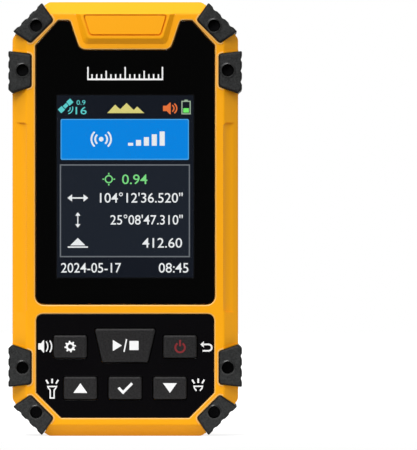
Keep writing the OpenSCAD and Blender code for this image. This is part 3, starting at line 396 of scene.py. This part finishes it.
slot_material = {
    "amber_abs": amber_abs, "bumper_rubber": bumper_rubber, "clear_acrylic": clear_acrylic,
    "black_print": black_print, "foam_tape": foam_tape, "display_glass": display_glass,
    "white_plastic": white_plastic, "flex_film": flex_film, "key_rubber": key_rubber, "silicone": silicone,
    "steel": steel, "black_steel": black_steel, "circuit_board": circuit_board, "ceramic_patch": ceramic,
    "chip_black": epoxy_black, "battery_wrap": battery_wrap, "lead_red": lead_red, "clear_lens": clear_lens,
    "reflector_metal": reflector_metal, "lamp_phosphor": lamp_phosphor, "brass": brass,
    "label_film": label_film,
}
node_slot = {row["node"]: row["material_slot"] for row in frame["record"]["subparts"]}


def paint(obj, material):
    """Gives an object its first material."""
    if obj.material_slots:
        obj.material_slots[0].material = material
    else:
        obj.data.materials.append(material)


for name, obj in frame["nodes"].items():
    paint(obj, slot_material[node_slot[name]])


# Shaping

# Points this close are joined, in millimetres, and faces this near to flat become one, in degrees
JOIN_WITHIN = 0.002
FLAT_WITHIN = 0.4
# Edges with more than this angle between their faces are rounded, in this many steps, and those that still
# have more than this are shaded as corners
SHARP = 25
ROUND_STEPS = 3
SHADED_SHARP = 33


def only(obj):
    """Makes one object the only one that operators act on."""
    bpy.ops.object.select_all(action="DESELECT")
    bpy.context.view_layer.objects.active = obj
    obj.select_set(True)


def apply(obj, kind, **settings):
    """Adds a modifier with its settings and applies it."""
    only(obj)
    bpy.ops.object.modifier_add(type=kind)
    modifier = obj.modifiers[-1]
    for key, value in settings.items():
        setattr(modifier, key, value)
    bpy.ops.object.modifier_apply(modifier=modifier.name)


def joined_copy(node):
    """A copy of a CAD node with its loose triangles joined into one skin, flat faces whole."""
    obj = bpy.data.objects.new(node + "_moulding", frame["nodes"][node].data.copy())
    bpy.context.scene.collection.objects.link(obj)
    only(obj)
    bpy.ops.mesh.customdata_custom_splitnormals_clear()
    bpy.ops.object.mode_set(mode="EDIT")
    bpy.ops.mesh.select_mode(type="EDGE")
    bpy.ops.mesh.select_all(action="SELECT")
    bpy.ops.mesh.remove_doubles(threshold=JOIN_WITHIN * MM)
    bpy.ops.mesh.dissolve_limited(angle_limit=math.radians(FLAT_WITHIN))
    bpy.ops.object.mode_set(mode="OBJECT")
    return obj


def stand_for(obj, node, body="meter", material=None):
    """Paints a piece and lets it stand for a CAD node on its body."""
    paint(obj, material or slot_material[node_slot[node]])
    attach(obj, body)
    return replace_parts(obj, node)


def round_edges(obj, width, test, tone=-1):
    """Rounds the sharp outward edges whose middle, in millimetres, passes a test.

    Tone is the material slot of the roundings, where it isn't that of the faces beside them.
    """
    only(obj)
    bpy.ops.object.mode_set(mode="EDIT")
    bpy.ops.mesh.select_mode(type="EDGE")
    bpy.ops.mesh.select_all(action="DESELECT")
    shape = bmesh.from_edit_mesh(obj.data)
    for line in shape.edges:
        if len(line.link_faces) != 2 or not line.is_convex or line.calc_face_angle() < math.radians(SHARP):
            continue
        line.select_set(test((line.verts[0].co + line.verts[1].co) / 2 / MM))
    bmesh.update_edit_mesh(obj.data)
    bpy.ops.mesh.bevel(offset=width * MM, segments=ROUND_STEPS, affect="EDGES", clamp_overlap=False,
                       material=tone)
    bpy.ops.object.mode_set(mode="OBJECT")


def settle(obj):
    """Smooth shading that keeps the corners and lets the flat faces stay flat."""
    only(obj)
    bpy.ops.object.shade_smooth_by_angle(angle=math.radians(SHADED_SHARP))
    apply(obj, "WEIGHTED_NORMAL", keep_sharp=True)


def moulding(node, width, body="meter", material=None, test=lambda p: True):
    """Stands for a CAD node: its copy with the sharp edges rounded as in its mould."""
    obj = joined_copy(node)
    round_edges(obj, width, test)
    settle(obj)
    return stand_for(obj, node, body, material)


# Bumpers: the grid of their skin in millimetres, how often it is smoothed, and what share of its faces stays
BUMPER_GRID = 0.18
BUMPER_PASSES = 3
BUMPER_SHARE = 0.35
# The collars start this far above a bumper's face, and the band of painted shade round its edge lies between
# these depths below it
COLLAR_FROM = 0.04
SHADE_BAND_FROM = 0.03
SHADE_BAND_DEEP = 0.75
# A face whose normal looks forwards by more than this belongs to the top of a collar, or to the bumper's face
COLLAR_FLAT = 0.97
FACE_FLAT = 0.92


def soft_moulding(node):
    """Stands for a bumper: its copy on a fine grid, smoothed so that every edge is soft.

    The sides of its collar are smooth, its outer edge is painted near black as painted shade, and the rest is
    grained.
    """
    obj = joined_copy(node)
    apply(obj, "REMESH", mode="VOXEL", voxel_size=BUMPER_GRID * MM, use_smooth_shade=True)
    apply(obj, "SMOOTH", factor=0.5, iterations=BUMPER_PASSES)
    apply(obj, "DECIMATE", ratio=BUMPER_SHARE)
    only(obj)
    bpy.ops.object.shade_smooth()
    stand_for(obj, node)
    obj.data.materials.append(collar_rubber)
    obj.data.materials.append(bumper_edge_painted_shade)
    # Slot 1 goes on the sides of the collars; slot 2, the painted shade, goes on a band round the outer edge
    for face in obj.data.polygons:
        below = face.center.y / MM - BUMPER_FACE
        if below < -COLLAR_FROM and face.normal.y > -COLLAR_FLAT:
            face.material_index = 1
        elif SHADE_BAND_FROM < below < SHADE_BAND_DEEP and face.normal.y > -FACE_FLAT:
            face.material_index = 2


# Where the seats of the bumpers end on the case, in millimetres; across a corner, which is cut at 45 degrees,
# that is a sum or a difference of X and Z
SIDE_CLEAR = 28.8
TOP_CORNER_CLEAR = 153
LOW_CORNER_CLEAR = 15.4
# How far from a face, from the crown's face, from the top of a lip and from the crown panel something
# still counts as theirs, and how squarely the top of a lip looks forwards
FACE_ROOM = 0.2
CROWN_ROOM = 0.05
LIP_ROOM = 0.02
LIP_FLAT = 0.99
RECESS_ROOM = 0.6
# Heights above and below which the edges of the back belong to the two ends of the case
BACK_TOP_END = 134
BACK_LOW_END = 3.2
# Depth of the top of a key, which stands out of the plate
KEY_TOP = 1.0
CROWN_PANEL_LOW, CROWN_PANEL_HIGH = [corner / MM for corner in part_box("crown_panel")]


def clear_of_bumpers(p):
    """True on the ends and faces of the case, away from the seats of the bumpers and their lips."""
    out = abs(p.x)
    return out < SIDE_CLEAR and out + p.z < TOP_CORNER_CLEAR and out - p.z < LOW_CORNER_CLEAR


def in_crown_recess(p):
    """True at the edge of the recess that holds the crown panel."""
    low = CROWN_PANEL_LOW.z - RECESS_ROOM
    high = CROWN_PANEL_HIGH.z + RECESS_ROOM
    return abs(p.x) < CROWN_PANEL_HIGH.x + RECESS_ROOM and low < p.z < high


def on_case_face(p):
    """True on the edges of the case's front face."""
    return abs(p.y - CASE_FACE) < FACE_ROOM and clear_of_bumpers(p)


def on_crown(p):
    """True on the edges of the crown's face, apart from its recess."""
    return p.y < CROWN_FACE + CROWN_ROOM and not in_crown_recess(p)


def on_back_ends(p):
    """True on the edges between the back and the two ends of the case."""
    return p.y > BACK_FACE - FACE_ROOM and clear_of_bumpers(p) and not BACK_LOW_END < p.z < BACK_TOP_END


def at_front(node, deep=FACE_ROOM):
    """A test that is true within a depth of a node's front."""
    limit = front_of(node) + deep
    return lambda p: p.y < limit


def at_back(node, deep=FACE_ROOM):
    """A test that is true within a depth of a node's back."""
    limit = back_of(node) - deep
    return lambda p: p.y > limit


# Roundings of the edges, in millimetres
FACE_ROUND = 0.35
CROWN_ROUND = 0.3
BACK_ROUND = 0.3
SCREW_ROUND = 0.15
PANEL_ROUND = 0.15
PLATE_ROUND = 0.12
WINDOW_ROUND = 0.15
DOOR_ROUND = 0.25
LABEL_ROUND = 0.06
KEY_ROUND = 0.25

front_case = joined_copy("front_case")
paint(front_case, amber_abs)
# Slot 1 is the painted highlight: a paler amber on the roundings of the face's edges and on the tops of the
# lips
front_case.data.materials.append(amber_painted_highlight)
round_edges(front_case, FACE_ROUND, on_case_face, tone=1)
round_edges(front_case, CROWN_ROUND, on_crown)
# The tops of the lips round the bumper seats get the painted highlight too
for face in front_case.data.polygons:
    if abs(face.center.y / MM - LIP_TOP) < LIP_ROOM and abs(face.normal.y) > LIP_FLAT:
        face.material_index = 1
settle(front_case)
stand_for(front_case, "front_case")

moulding("back_case", BACK_ROUND, test=on_back_ends)

# Case screws, with the walls of the drive recess in their heads painted black as painted shade
DRIVE_FROM = 0.2
DRIVE_DEEP = 1.05
screws = moulding("case_screws", SCREW_ROUND, test=at_back("case_screws"))
screws.data.materials.append(black_steel)
for face in screws.data.polygons:
    if SCREW_TOP - DRIVE_DEEP < face.center.y / MM < SCREW_TOP - DRIVE_FROM:
        face.material_index = 1

moulding("crown_panel", PANEL_ROUND, test=at_front("crown_panel"))
moulding("keypad_plate", PLATE_ROUND, material=plate_gloss, test=at_front("keypad_plate"))
moulding("display_window", WINDOW_ROUND, test=at_front("display_window"))
moulding("port_door", DOOR_ROUND, body="port_door")
moulding("label_plate", LABEL_ROUND)
for key in ("settings_key", "start_key", "power_key", "up_key", "enter_key", "down_key"):
    moulding(key, KEY_ROUND, body=key, test=at_front(key, KEY_TOP))
for kind in ("corner", "side"):
    for row in ("upper", "lower"):
        for hand in ("left", "right"):
            soft_moulding(f"{kind}_bumper_{row}_{hand}")


# Printed signs and the picture on the display. Outlines are lists of (x, z) in millimetres.

def bent(cx, cz, r, start, stop, steps):
    """Points on an arc, angles in degrees from the right, anticlockwise."""
    turns = [math.radians(start + (stop - start) * i / steps) for i in range(steps + 1)]
    return [(cx + r * math.cos(a), cz + r * math.sin(a)) for a in turns]


def band(points, width):
    """The outline of a line of a given width through points, with mitred corners and square ends."""
    path = [Vector(p) for p in points]
    sides = []
    for i, p in enumerate(path):
        before = (p - path[i - 1]).normalized() if i > 0 else None
        after = (path[i + 1] - p).normalized() if i < len(path) - 1 else None
        before = before or after
        after = after or before
        across = Vector((-before.y - after.y, before.x + after.x)).normalized()
        reach = width / 2 / max(0.3, across.dot(Vector((-after.y, after.x))))
        sides.append((p + across * reach, p - across * reach))
    return [tuple(a) for a, b in sides] + [tuple(b) for a, b in reversed(sides)]


def shifted(outlines, x, z, scale=1.0, turn=0.0):
    """Outlines turned by degrees, scaled and moved to a place."""
    c = math.cos(math.radians(turn)) * scale
    s = math.sin(math.radians(turn)) * scale
    return [[(x + c * a - s * b, z + s * a + c * b) for a, b in line] for line in outlines]


def oblong(x0, x1, z0, z1, r=0.0):
    """A box, with round corners where r is given."""
    if r == 0:
        return [(x0, z0), (x1, z0), (x1, z1), (x0, z1)]
    return (bent(x1 - r, z0 + r, r, -90, 0, 6) + bent(x1 - r, z1 - r, r, 0, 90, 6)
            + bent(x0 + r, z1 - r, r, 90, 180, 6) + bent(x0 + r, z0 + r, r, 180, 270, 6))


def both_halves(points, width):
    """The outlines of a line and of its mirror image, for a closed sign that starts and ends midway."""
    half = band(points, width)
    return [half, [(-x, z) for x, z in half]]


def frame_line(x0, x1, z0, z1, width):
    """The outlines of a thin box frame, in two halves."""
    w = (x1 - x0) / 2
    h = (z1 - z0) / 2
    return shifted(both_halves([(0, h), (w, h), (w, -h), (0, -h)], width), (x0 + x1) / 2, (z0 + z1) / 2)


# How much the strokes of the figures are thickened, and the steps in each of their curves
STROKE = 0.004
CURVE_STEPS = 4


def filled_text(words, x0, x1, z0, z1, y):
    """A flat mesh of figures that fills a box, standing on the plane y."""
    bpy.ops.object.select_all(action="DESELECT")
    bpy.ops.object.text_add()
    obj = bpy.context.object
    obj.data.body = words
    obj.data.offset = STROKE
    obj.data.resolution_u = CURVE_STEPS
    bpy.ops.object.convert(target="MESH")
    spots = obj.data.vertices
    left = min(v.co.x for v in spots)
    low = min(v.co.y for v in spots)
    wide = max(v.co.x for v in spots) - left
    tall = max(v.co.y for v in spots) - low
    along = (x1 - x0) / wide
    up = (z1 - z0) / tall
    for v in spots:
        v.co = Vector((x0 + (v.co.x - left) * along, y, z0 + (v.co.y - low) * up)) * MM
    return obj


# Points of a sheet this close are joined, in millimetres
SHEET_JOIN = 0.001


def flat_piece(name, y, thick, material, outlines, words=(), body="meter"):
    """One thin sheet cut to outlines and figures, lying on the plane y and facing the reader."""
    parts = [filled_text(*w, y) for w in words]
    for outline in outlines:
        bpy.ops.object.select_all(action="DESELECT")
        bpy.ops.mesh.primitive_circle_add(vertices=len(outline), fill_type="NGON")
        part = bpy.context.object
        for v, (x, z) in zip(part.data.vertices, outline):
            v.co = Vector((x, y, z)) * MM
        parts.append(part)
    only(parts[0])
    for part in parts:
        part.select_set(True)
        part.location = (0, 0, 0)
        part.rotation_euler = (0, 0, 0)
    if len(parts) > 1:
        bpy.ops.object.join()
    obj = bpy.context.object
    obj.name = name
    obj.data.name = name
    bpy.ops.object.mode_set(mode="EDIT")
    bpy.ops.mesh.select_all(action="SELECT")
    bpy.ops.mesh.remove_doubles(threshold=SHEET_JOIN * MM)
    bpy.ops.mesh.select_all(action="SELECT")
    bpy.ops.mesh.extrude_region_move(TRANSFORM_OT_translate={"value": (0, -thick * MM, 0)})
    bpy.ops.mesh.select_all(action="SELECT")
    bpy.ops.mesh.normals_make_consistent(inside=False)
    bpy.ops.object.mode_set(mode="OBJECT")
    paint(obj, material)
    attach(obj, body)


def middle_of(node):
    """The middle of a key's face, in millimetres."""
    low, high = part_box(node)
    return (low.x + high.x) / 2 / MM, (low.z + high.z) / 2 / MM


# Signs, each drawn about its own middle
loudspeaker = [[(-2.2, -1.0), (-1.3, -1.0), (-0.55, -2.0), (-0.3, -2.0),
                (-0.3, 2.0), (-0.55, 2.0), (-1.3, 1.0), (-2.2, 1.0)],
               band(bent(-1.9, 0, 2.8, -36, 36, 10), 0.4), band(bent(-1.05, 0, 3.2, -36, 36, 10), 0.42)]
rays = [band([(0, 2.05), (0, 3.45)], 0.54), band([(-1.2, 1.9), (-1.92, 3.1)], 0.52),
        band([(1.2, 1.9), (1.92, 3.1)], 0.52)]
torch_head = [(0, 1.0), (1.35, 1.0), (1.2, 0.56), (0.62, -0.16), (0.62, -2.62), (0, -2.62)]
torch_sign = rays + both_halves(torch_head, 0.42)
lamp_cup = [(-0.52, -0.4), (-1.17, 0.35), (-1.33, 1.0), (1.33, 1.0), (1.17, 0.35), (0.52, -0.4)]
lamp_sign = rays + [band(lamp_cup, 0.42)]
return_path = [(-0.9, 0.8), (0.85, 0.8)] + bent(0.85, -0.3, 1.1, 90, -90, 12)[1:] + [(-1.2, -1.4)]
return_sign = [band(return_path, 0.55), [(-2.0, 0.8), (-0.8, -0.25), (-0.8, 1.85)]]
power_sign = [band(bent(0, -0.3, 1.5, 122, 418, 28), 0.58), band([(0, 0.1), (0, 2.1)], 0.6)]
TEETH = 8
GEAR_TIP = 1.85
GEAR_ROOT = 1.4
GEAR_HOLE = 0.72


def gear_outline():
    """A toothed ring, drawn as one line round the teeth and back round the hole."""
    rim = []
    for i in range(TEETH):
        for part, r in ((0.03, GEAR_TIP), (0.32, GEAR_TIP), (0.45, GEAR_ROOT), (0.9, GEAR_ROOT)):
            a = math.tau * (i + part) / TEETH
            rim.append((r * math.cos(a), r * math.sin(a)))
    hole = bent(0, 0, GEAR_HOLE, 358, 2, 24)
    return rim + hole


gear_sign = [gear_outline()]
start_sign = [[(-3.9, -1.75), (-1.0, 0), (-3.9, 1.75)], band([(-0.35, -2.0), (0.45, 2.0)], 0.42),
              oblong(1.35, 4.25, -1.45, 1.45, 0.2)]
up_sign = [[(-2.2, -1.55), (2.2, -1.55), (0, 1.55)]]
down_sign = [[(-2.2, 1.55), (0, -1.55), (2.2, 1.55)]]
tick_sign = [band([(-2.1, 0.1), (-0.65, -1.4), (2.2, 1.5)], 0.8)]

# Thickness of the ink, and how far its underside lies within what carries it
INK = 0.03
SUNK = 0.01
flat_piece("plate_signs", PLATE_FACE + SUNK, INK, white_ink,
           shifted(loudspeaker, -25.35, 28.4, 0.97) + shifted(torch_sign, -23.1, 14.72)
           + shifted(return_sign, 25.6, 28.3, 0.92) + shifted(lamp_sign, 23.1, 14.8))
for key, sign, ink in (("settings_key", gear_sign, white_ink), ("start_key", start_sign, white_ink),
                       ("power_key", power_sign, red_ink), ("up_key", up_sign, white_ink),
                       ("enter_key", tick_sign, white_ink), ("down_key", down_sign, white_ink)):
    flat_piece(key + "_sign", KEY_FACE + SUNK, INK, ink,
               shifted(sign, *middle_of(key)), body=key)

# A plain scale bar printed in white on the upper part of the window, with taller ticks at halves and quarters
SCALE_W = 24.0
SCALE_Z = 112.6
SCALE_STEPS = 16
SCALE_LINE = 0.55
TICK_W = 0.44
TICK_HALF = 4.2
TICK_QUARTER = 3.0
TICK_SHORT = 1.9
last_tick = (SCALE_W - TICK_W) / 2
ticks = [oblong(-SCALE_W / 2, SCALE_W / 2, 0, SCALE_LINE)]
for i in range(SCALE_STEPS + 1):
    x = -SCALE_W / 2 + i * SCALE_W / SCALE_STEPS
    tall = TICK_HALF if i % 8 == 0 else TICK_QUARTER if i % 4 == 0 else TICK_SHORT
    x = min(max(x, -last_tick), last_tick)
    ticks.append(oblong(x - TICK_W / 2, x + TICK_W / 2, SCALE_LINE, tall))
flat_piece("window_scale_print", WINDOW_FACE + SUNK, INK, white_ink,
           shifted(ticks, 0, SCALE_Z))


# The display picture, in millimetres from the upper left corner of the lit area

def on_display(outlines):
    """Outlines given as millimetres to the right and down from the corner of the lit area."""
    return [[(LIT_LEFT + u, LIT_TOP - v) for u, v in line] for line in outlines]


def figures(words, u0, u1, v0, v1):
    """Figures and the box that they fill, measured to the right and down as on_display does."""
    return words, LIT_LEFT + u0, LIT_LEFT + u1, LIT_TOP - v1, LIT_TOP - v0


lit_dark = lit("lit_display_ground", "#10151f")
lit_panel = lit("lit_display_panel", "#1a202a")
lit_grey = lit("lit_display_grey", "#6d7278")
lit_blue = lit("lit_display_blue", "#0085e3")
lit_pale_blue = lit("lit_display_pale_blue", "#4aa4e6")
lit_white = lit("lit_display_white", "#eef0f2")
lit_green = lit("lit_display_green", "#7ddc84")
lit_bright_green = lit("lit_display_bright_green", "#76f26e")
lit_pale_green = lit("lit_display_pale_green", "#a0b59c")
lit_cyan = lit("lit_display_cyan", "#5fd0cf")
lit_yellow = lit("lit_display_yellow", "#dcd27c")
lit_orange = lit("lit_display_orange", "#e8743a")

# The picture is cut from thin sheets, in layers that are counted forwards from the glass
LAYER = 0.03


def display_piece(name, layer, colour, outlines, words=()):
    """One colour of the picture, on its layer."""
    flat_piece(name, PANEL_FACE + SUNK - layer * LAYER, LAYER, colour,
               on_display(outlines), words)


display_piece("display_ground", 0, lit_dark, [oblong(0, LIT_W, 0, LIT_H)])
display_piece("display_banner_edge", 1, lit_pale_blue, [oblong(1.15, 41.75, 7.45, 20.4, 0.5)])
display_piece("display_box", 1, lit_panel, [oblong(1.2, 41.8, 22.1, 50.9)])
display_piece("display_banner", 2, lit_blue, [oblong(1.45, 41.45, 7.75, 20.05, 0.35)])
display_piece("display_box_edge", 2, lit_grey, frame_line(1.1, 41.9, 22.0, 51.0, 0.4))

# Banner: a sender with its waves, then five rising bars
sender = [bent(0, 0, 0.75, 0, 330, 11)]
for r in (1.9, 3.1):
    sender.append(band(bent(0, 0, r, -48, 48, 10), 0.55))
    sender.append(band(bent(0, 0, r, 132, 228, 10), 0.55))
BARS = 5
BARS_LEFT = 22.5
BARS_FOOT = 15.9
BAR_STEP = 2.5
BAR_W = 1.6
BAR_RISE = 0.9
bars = []
for i in range(BARS):
    left = BARS_LEFT + BAR_STEP * i
    bars.append(oblong(left, left + BAR_W, BARS_FOOT - BAR_RISE * (i + 1), BARS_FOOT))

# Rows of the box: across, up and down, and height above the ground, each with its figures
across_sign = [band([(-2.0, 0), (2.0, 0)], 0.45), [(-3.3, 0), (-1.8, 1.15), (-1.8, -1.15)],
               [(3.3, 0), (1.8, -1.15), (1.8, 1.15)]]
height_sign = [oblong(-3.2, 3.2, 1.05, 1.5), [(-2.4, 0.75), (2.4, 0.75), (0, -1.6)]]
row_signs = (shifted(across_sign, 6.6, 32.45) + shifted(across_sign, 6.6, 39.4, 0.74, 90)
             + shifted(height_sign, 6.6, 46.7))
display_piece("display_white_figures", 3, lit_white, shifted(sender, 14.0, 13.85) + bars + row_signs,
              [figures("104\u00b012'36.520\"", 13.6, 39.8, 30.7, 33.95),
               figures("25\u00b008'47.310\"", 16.9, 39.8, 37.7, 40.9),
               figures("412.60", 27.0, 39.6, 45.1, 48.2),
               figures("2024-05-17", 1.3, 20.3, 53.0, 56.1), figures("08:45", 32.2, 41.6, 53.0, 56.1)])
aim_sign = both_halves(bent(0, 0, 1.1, -90, 90, 14), 0.4)
for turn in (0, 90, 180, 270):
    aim_sign += shifted([band([(1.45, 0), (2.0, 0)], 0.4)], 0, 0, 1.0, turn)
display_piece("display_green_figures", 3, lit_green, shifted(aim_sign, 16.4, 26.5),
              [figures("0.94", 20.6, 28.6, 25.0, 28.1)])

# Status row: satellite, counts, hills, loudspeaker and battery
craft = [oblong(-0.75, 0.75, -0.6, 0.6), oblong(-2.75, -1.0, -0.85, 0.85), oblong(1.0, 2.75, -0.85, 0.85)]
waves = [band(bent(3.3, 4.1, 0.9, -20, 80, 6), 0.32), band(bent(3.3, 4.1, 1.7, -20, 80, 8), 0.32)]
display_piece("display_cyan_signs", 1, lit_cyan, shifted(craft, 2.75, 3.3, 0.95, -42) + waves,
              [figures("0.9", 6.2, 9.0, 1.5, 3.0), figures("16", 5.9, 9.4, 3.6, 6.0)])
hills = [[(15.9, 5.6), (18.4, 2.9), (20.0, 4.4), (22.0, 2.4), (24.3, 4.6), (25.4, 3.5), (27.6, 5.6)]]
display_piece("display_yellow_sign", 1, lit_yellow, hills)
sounder = [[(-2.75, -0.85), (-1.6, -0.85), (-0.55, -1.85), (-0.3, -1.85),
            (-0.3, 1.85), (-0.55, 1.85), (-1.6, 0.85), (-2.75, 0.85)],
           band(bent(-0.38, 0, 1.13, -62, 62, 10), 0.4), band(bent(-0.23, 0, 1.83, -55, 55, 12), 0.42)]
display_piece("display_orange_sign", 1, lit_orange, shifted(sounder, 36.3, 4.1))
display_piece("display_battery_edge", 1, lit_pale_green,
              frame_line(39.55, 42.15, 1.87, 5.82, 0.34) + [oblong(40.3, 41.4, 1.35, 1.7)])
display_piece("display_battery_level", 1, lit_bright_green, [oblong(39.95, 41.75, 4.05, 5.45)])
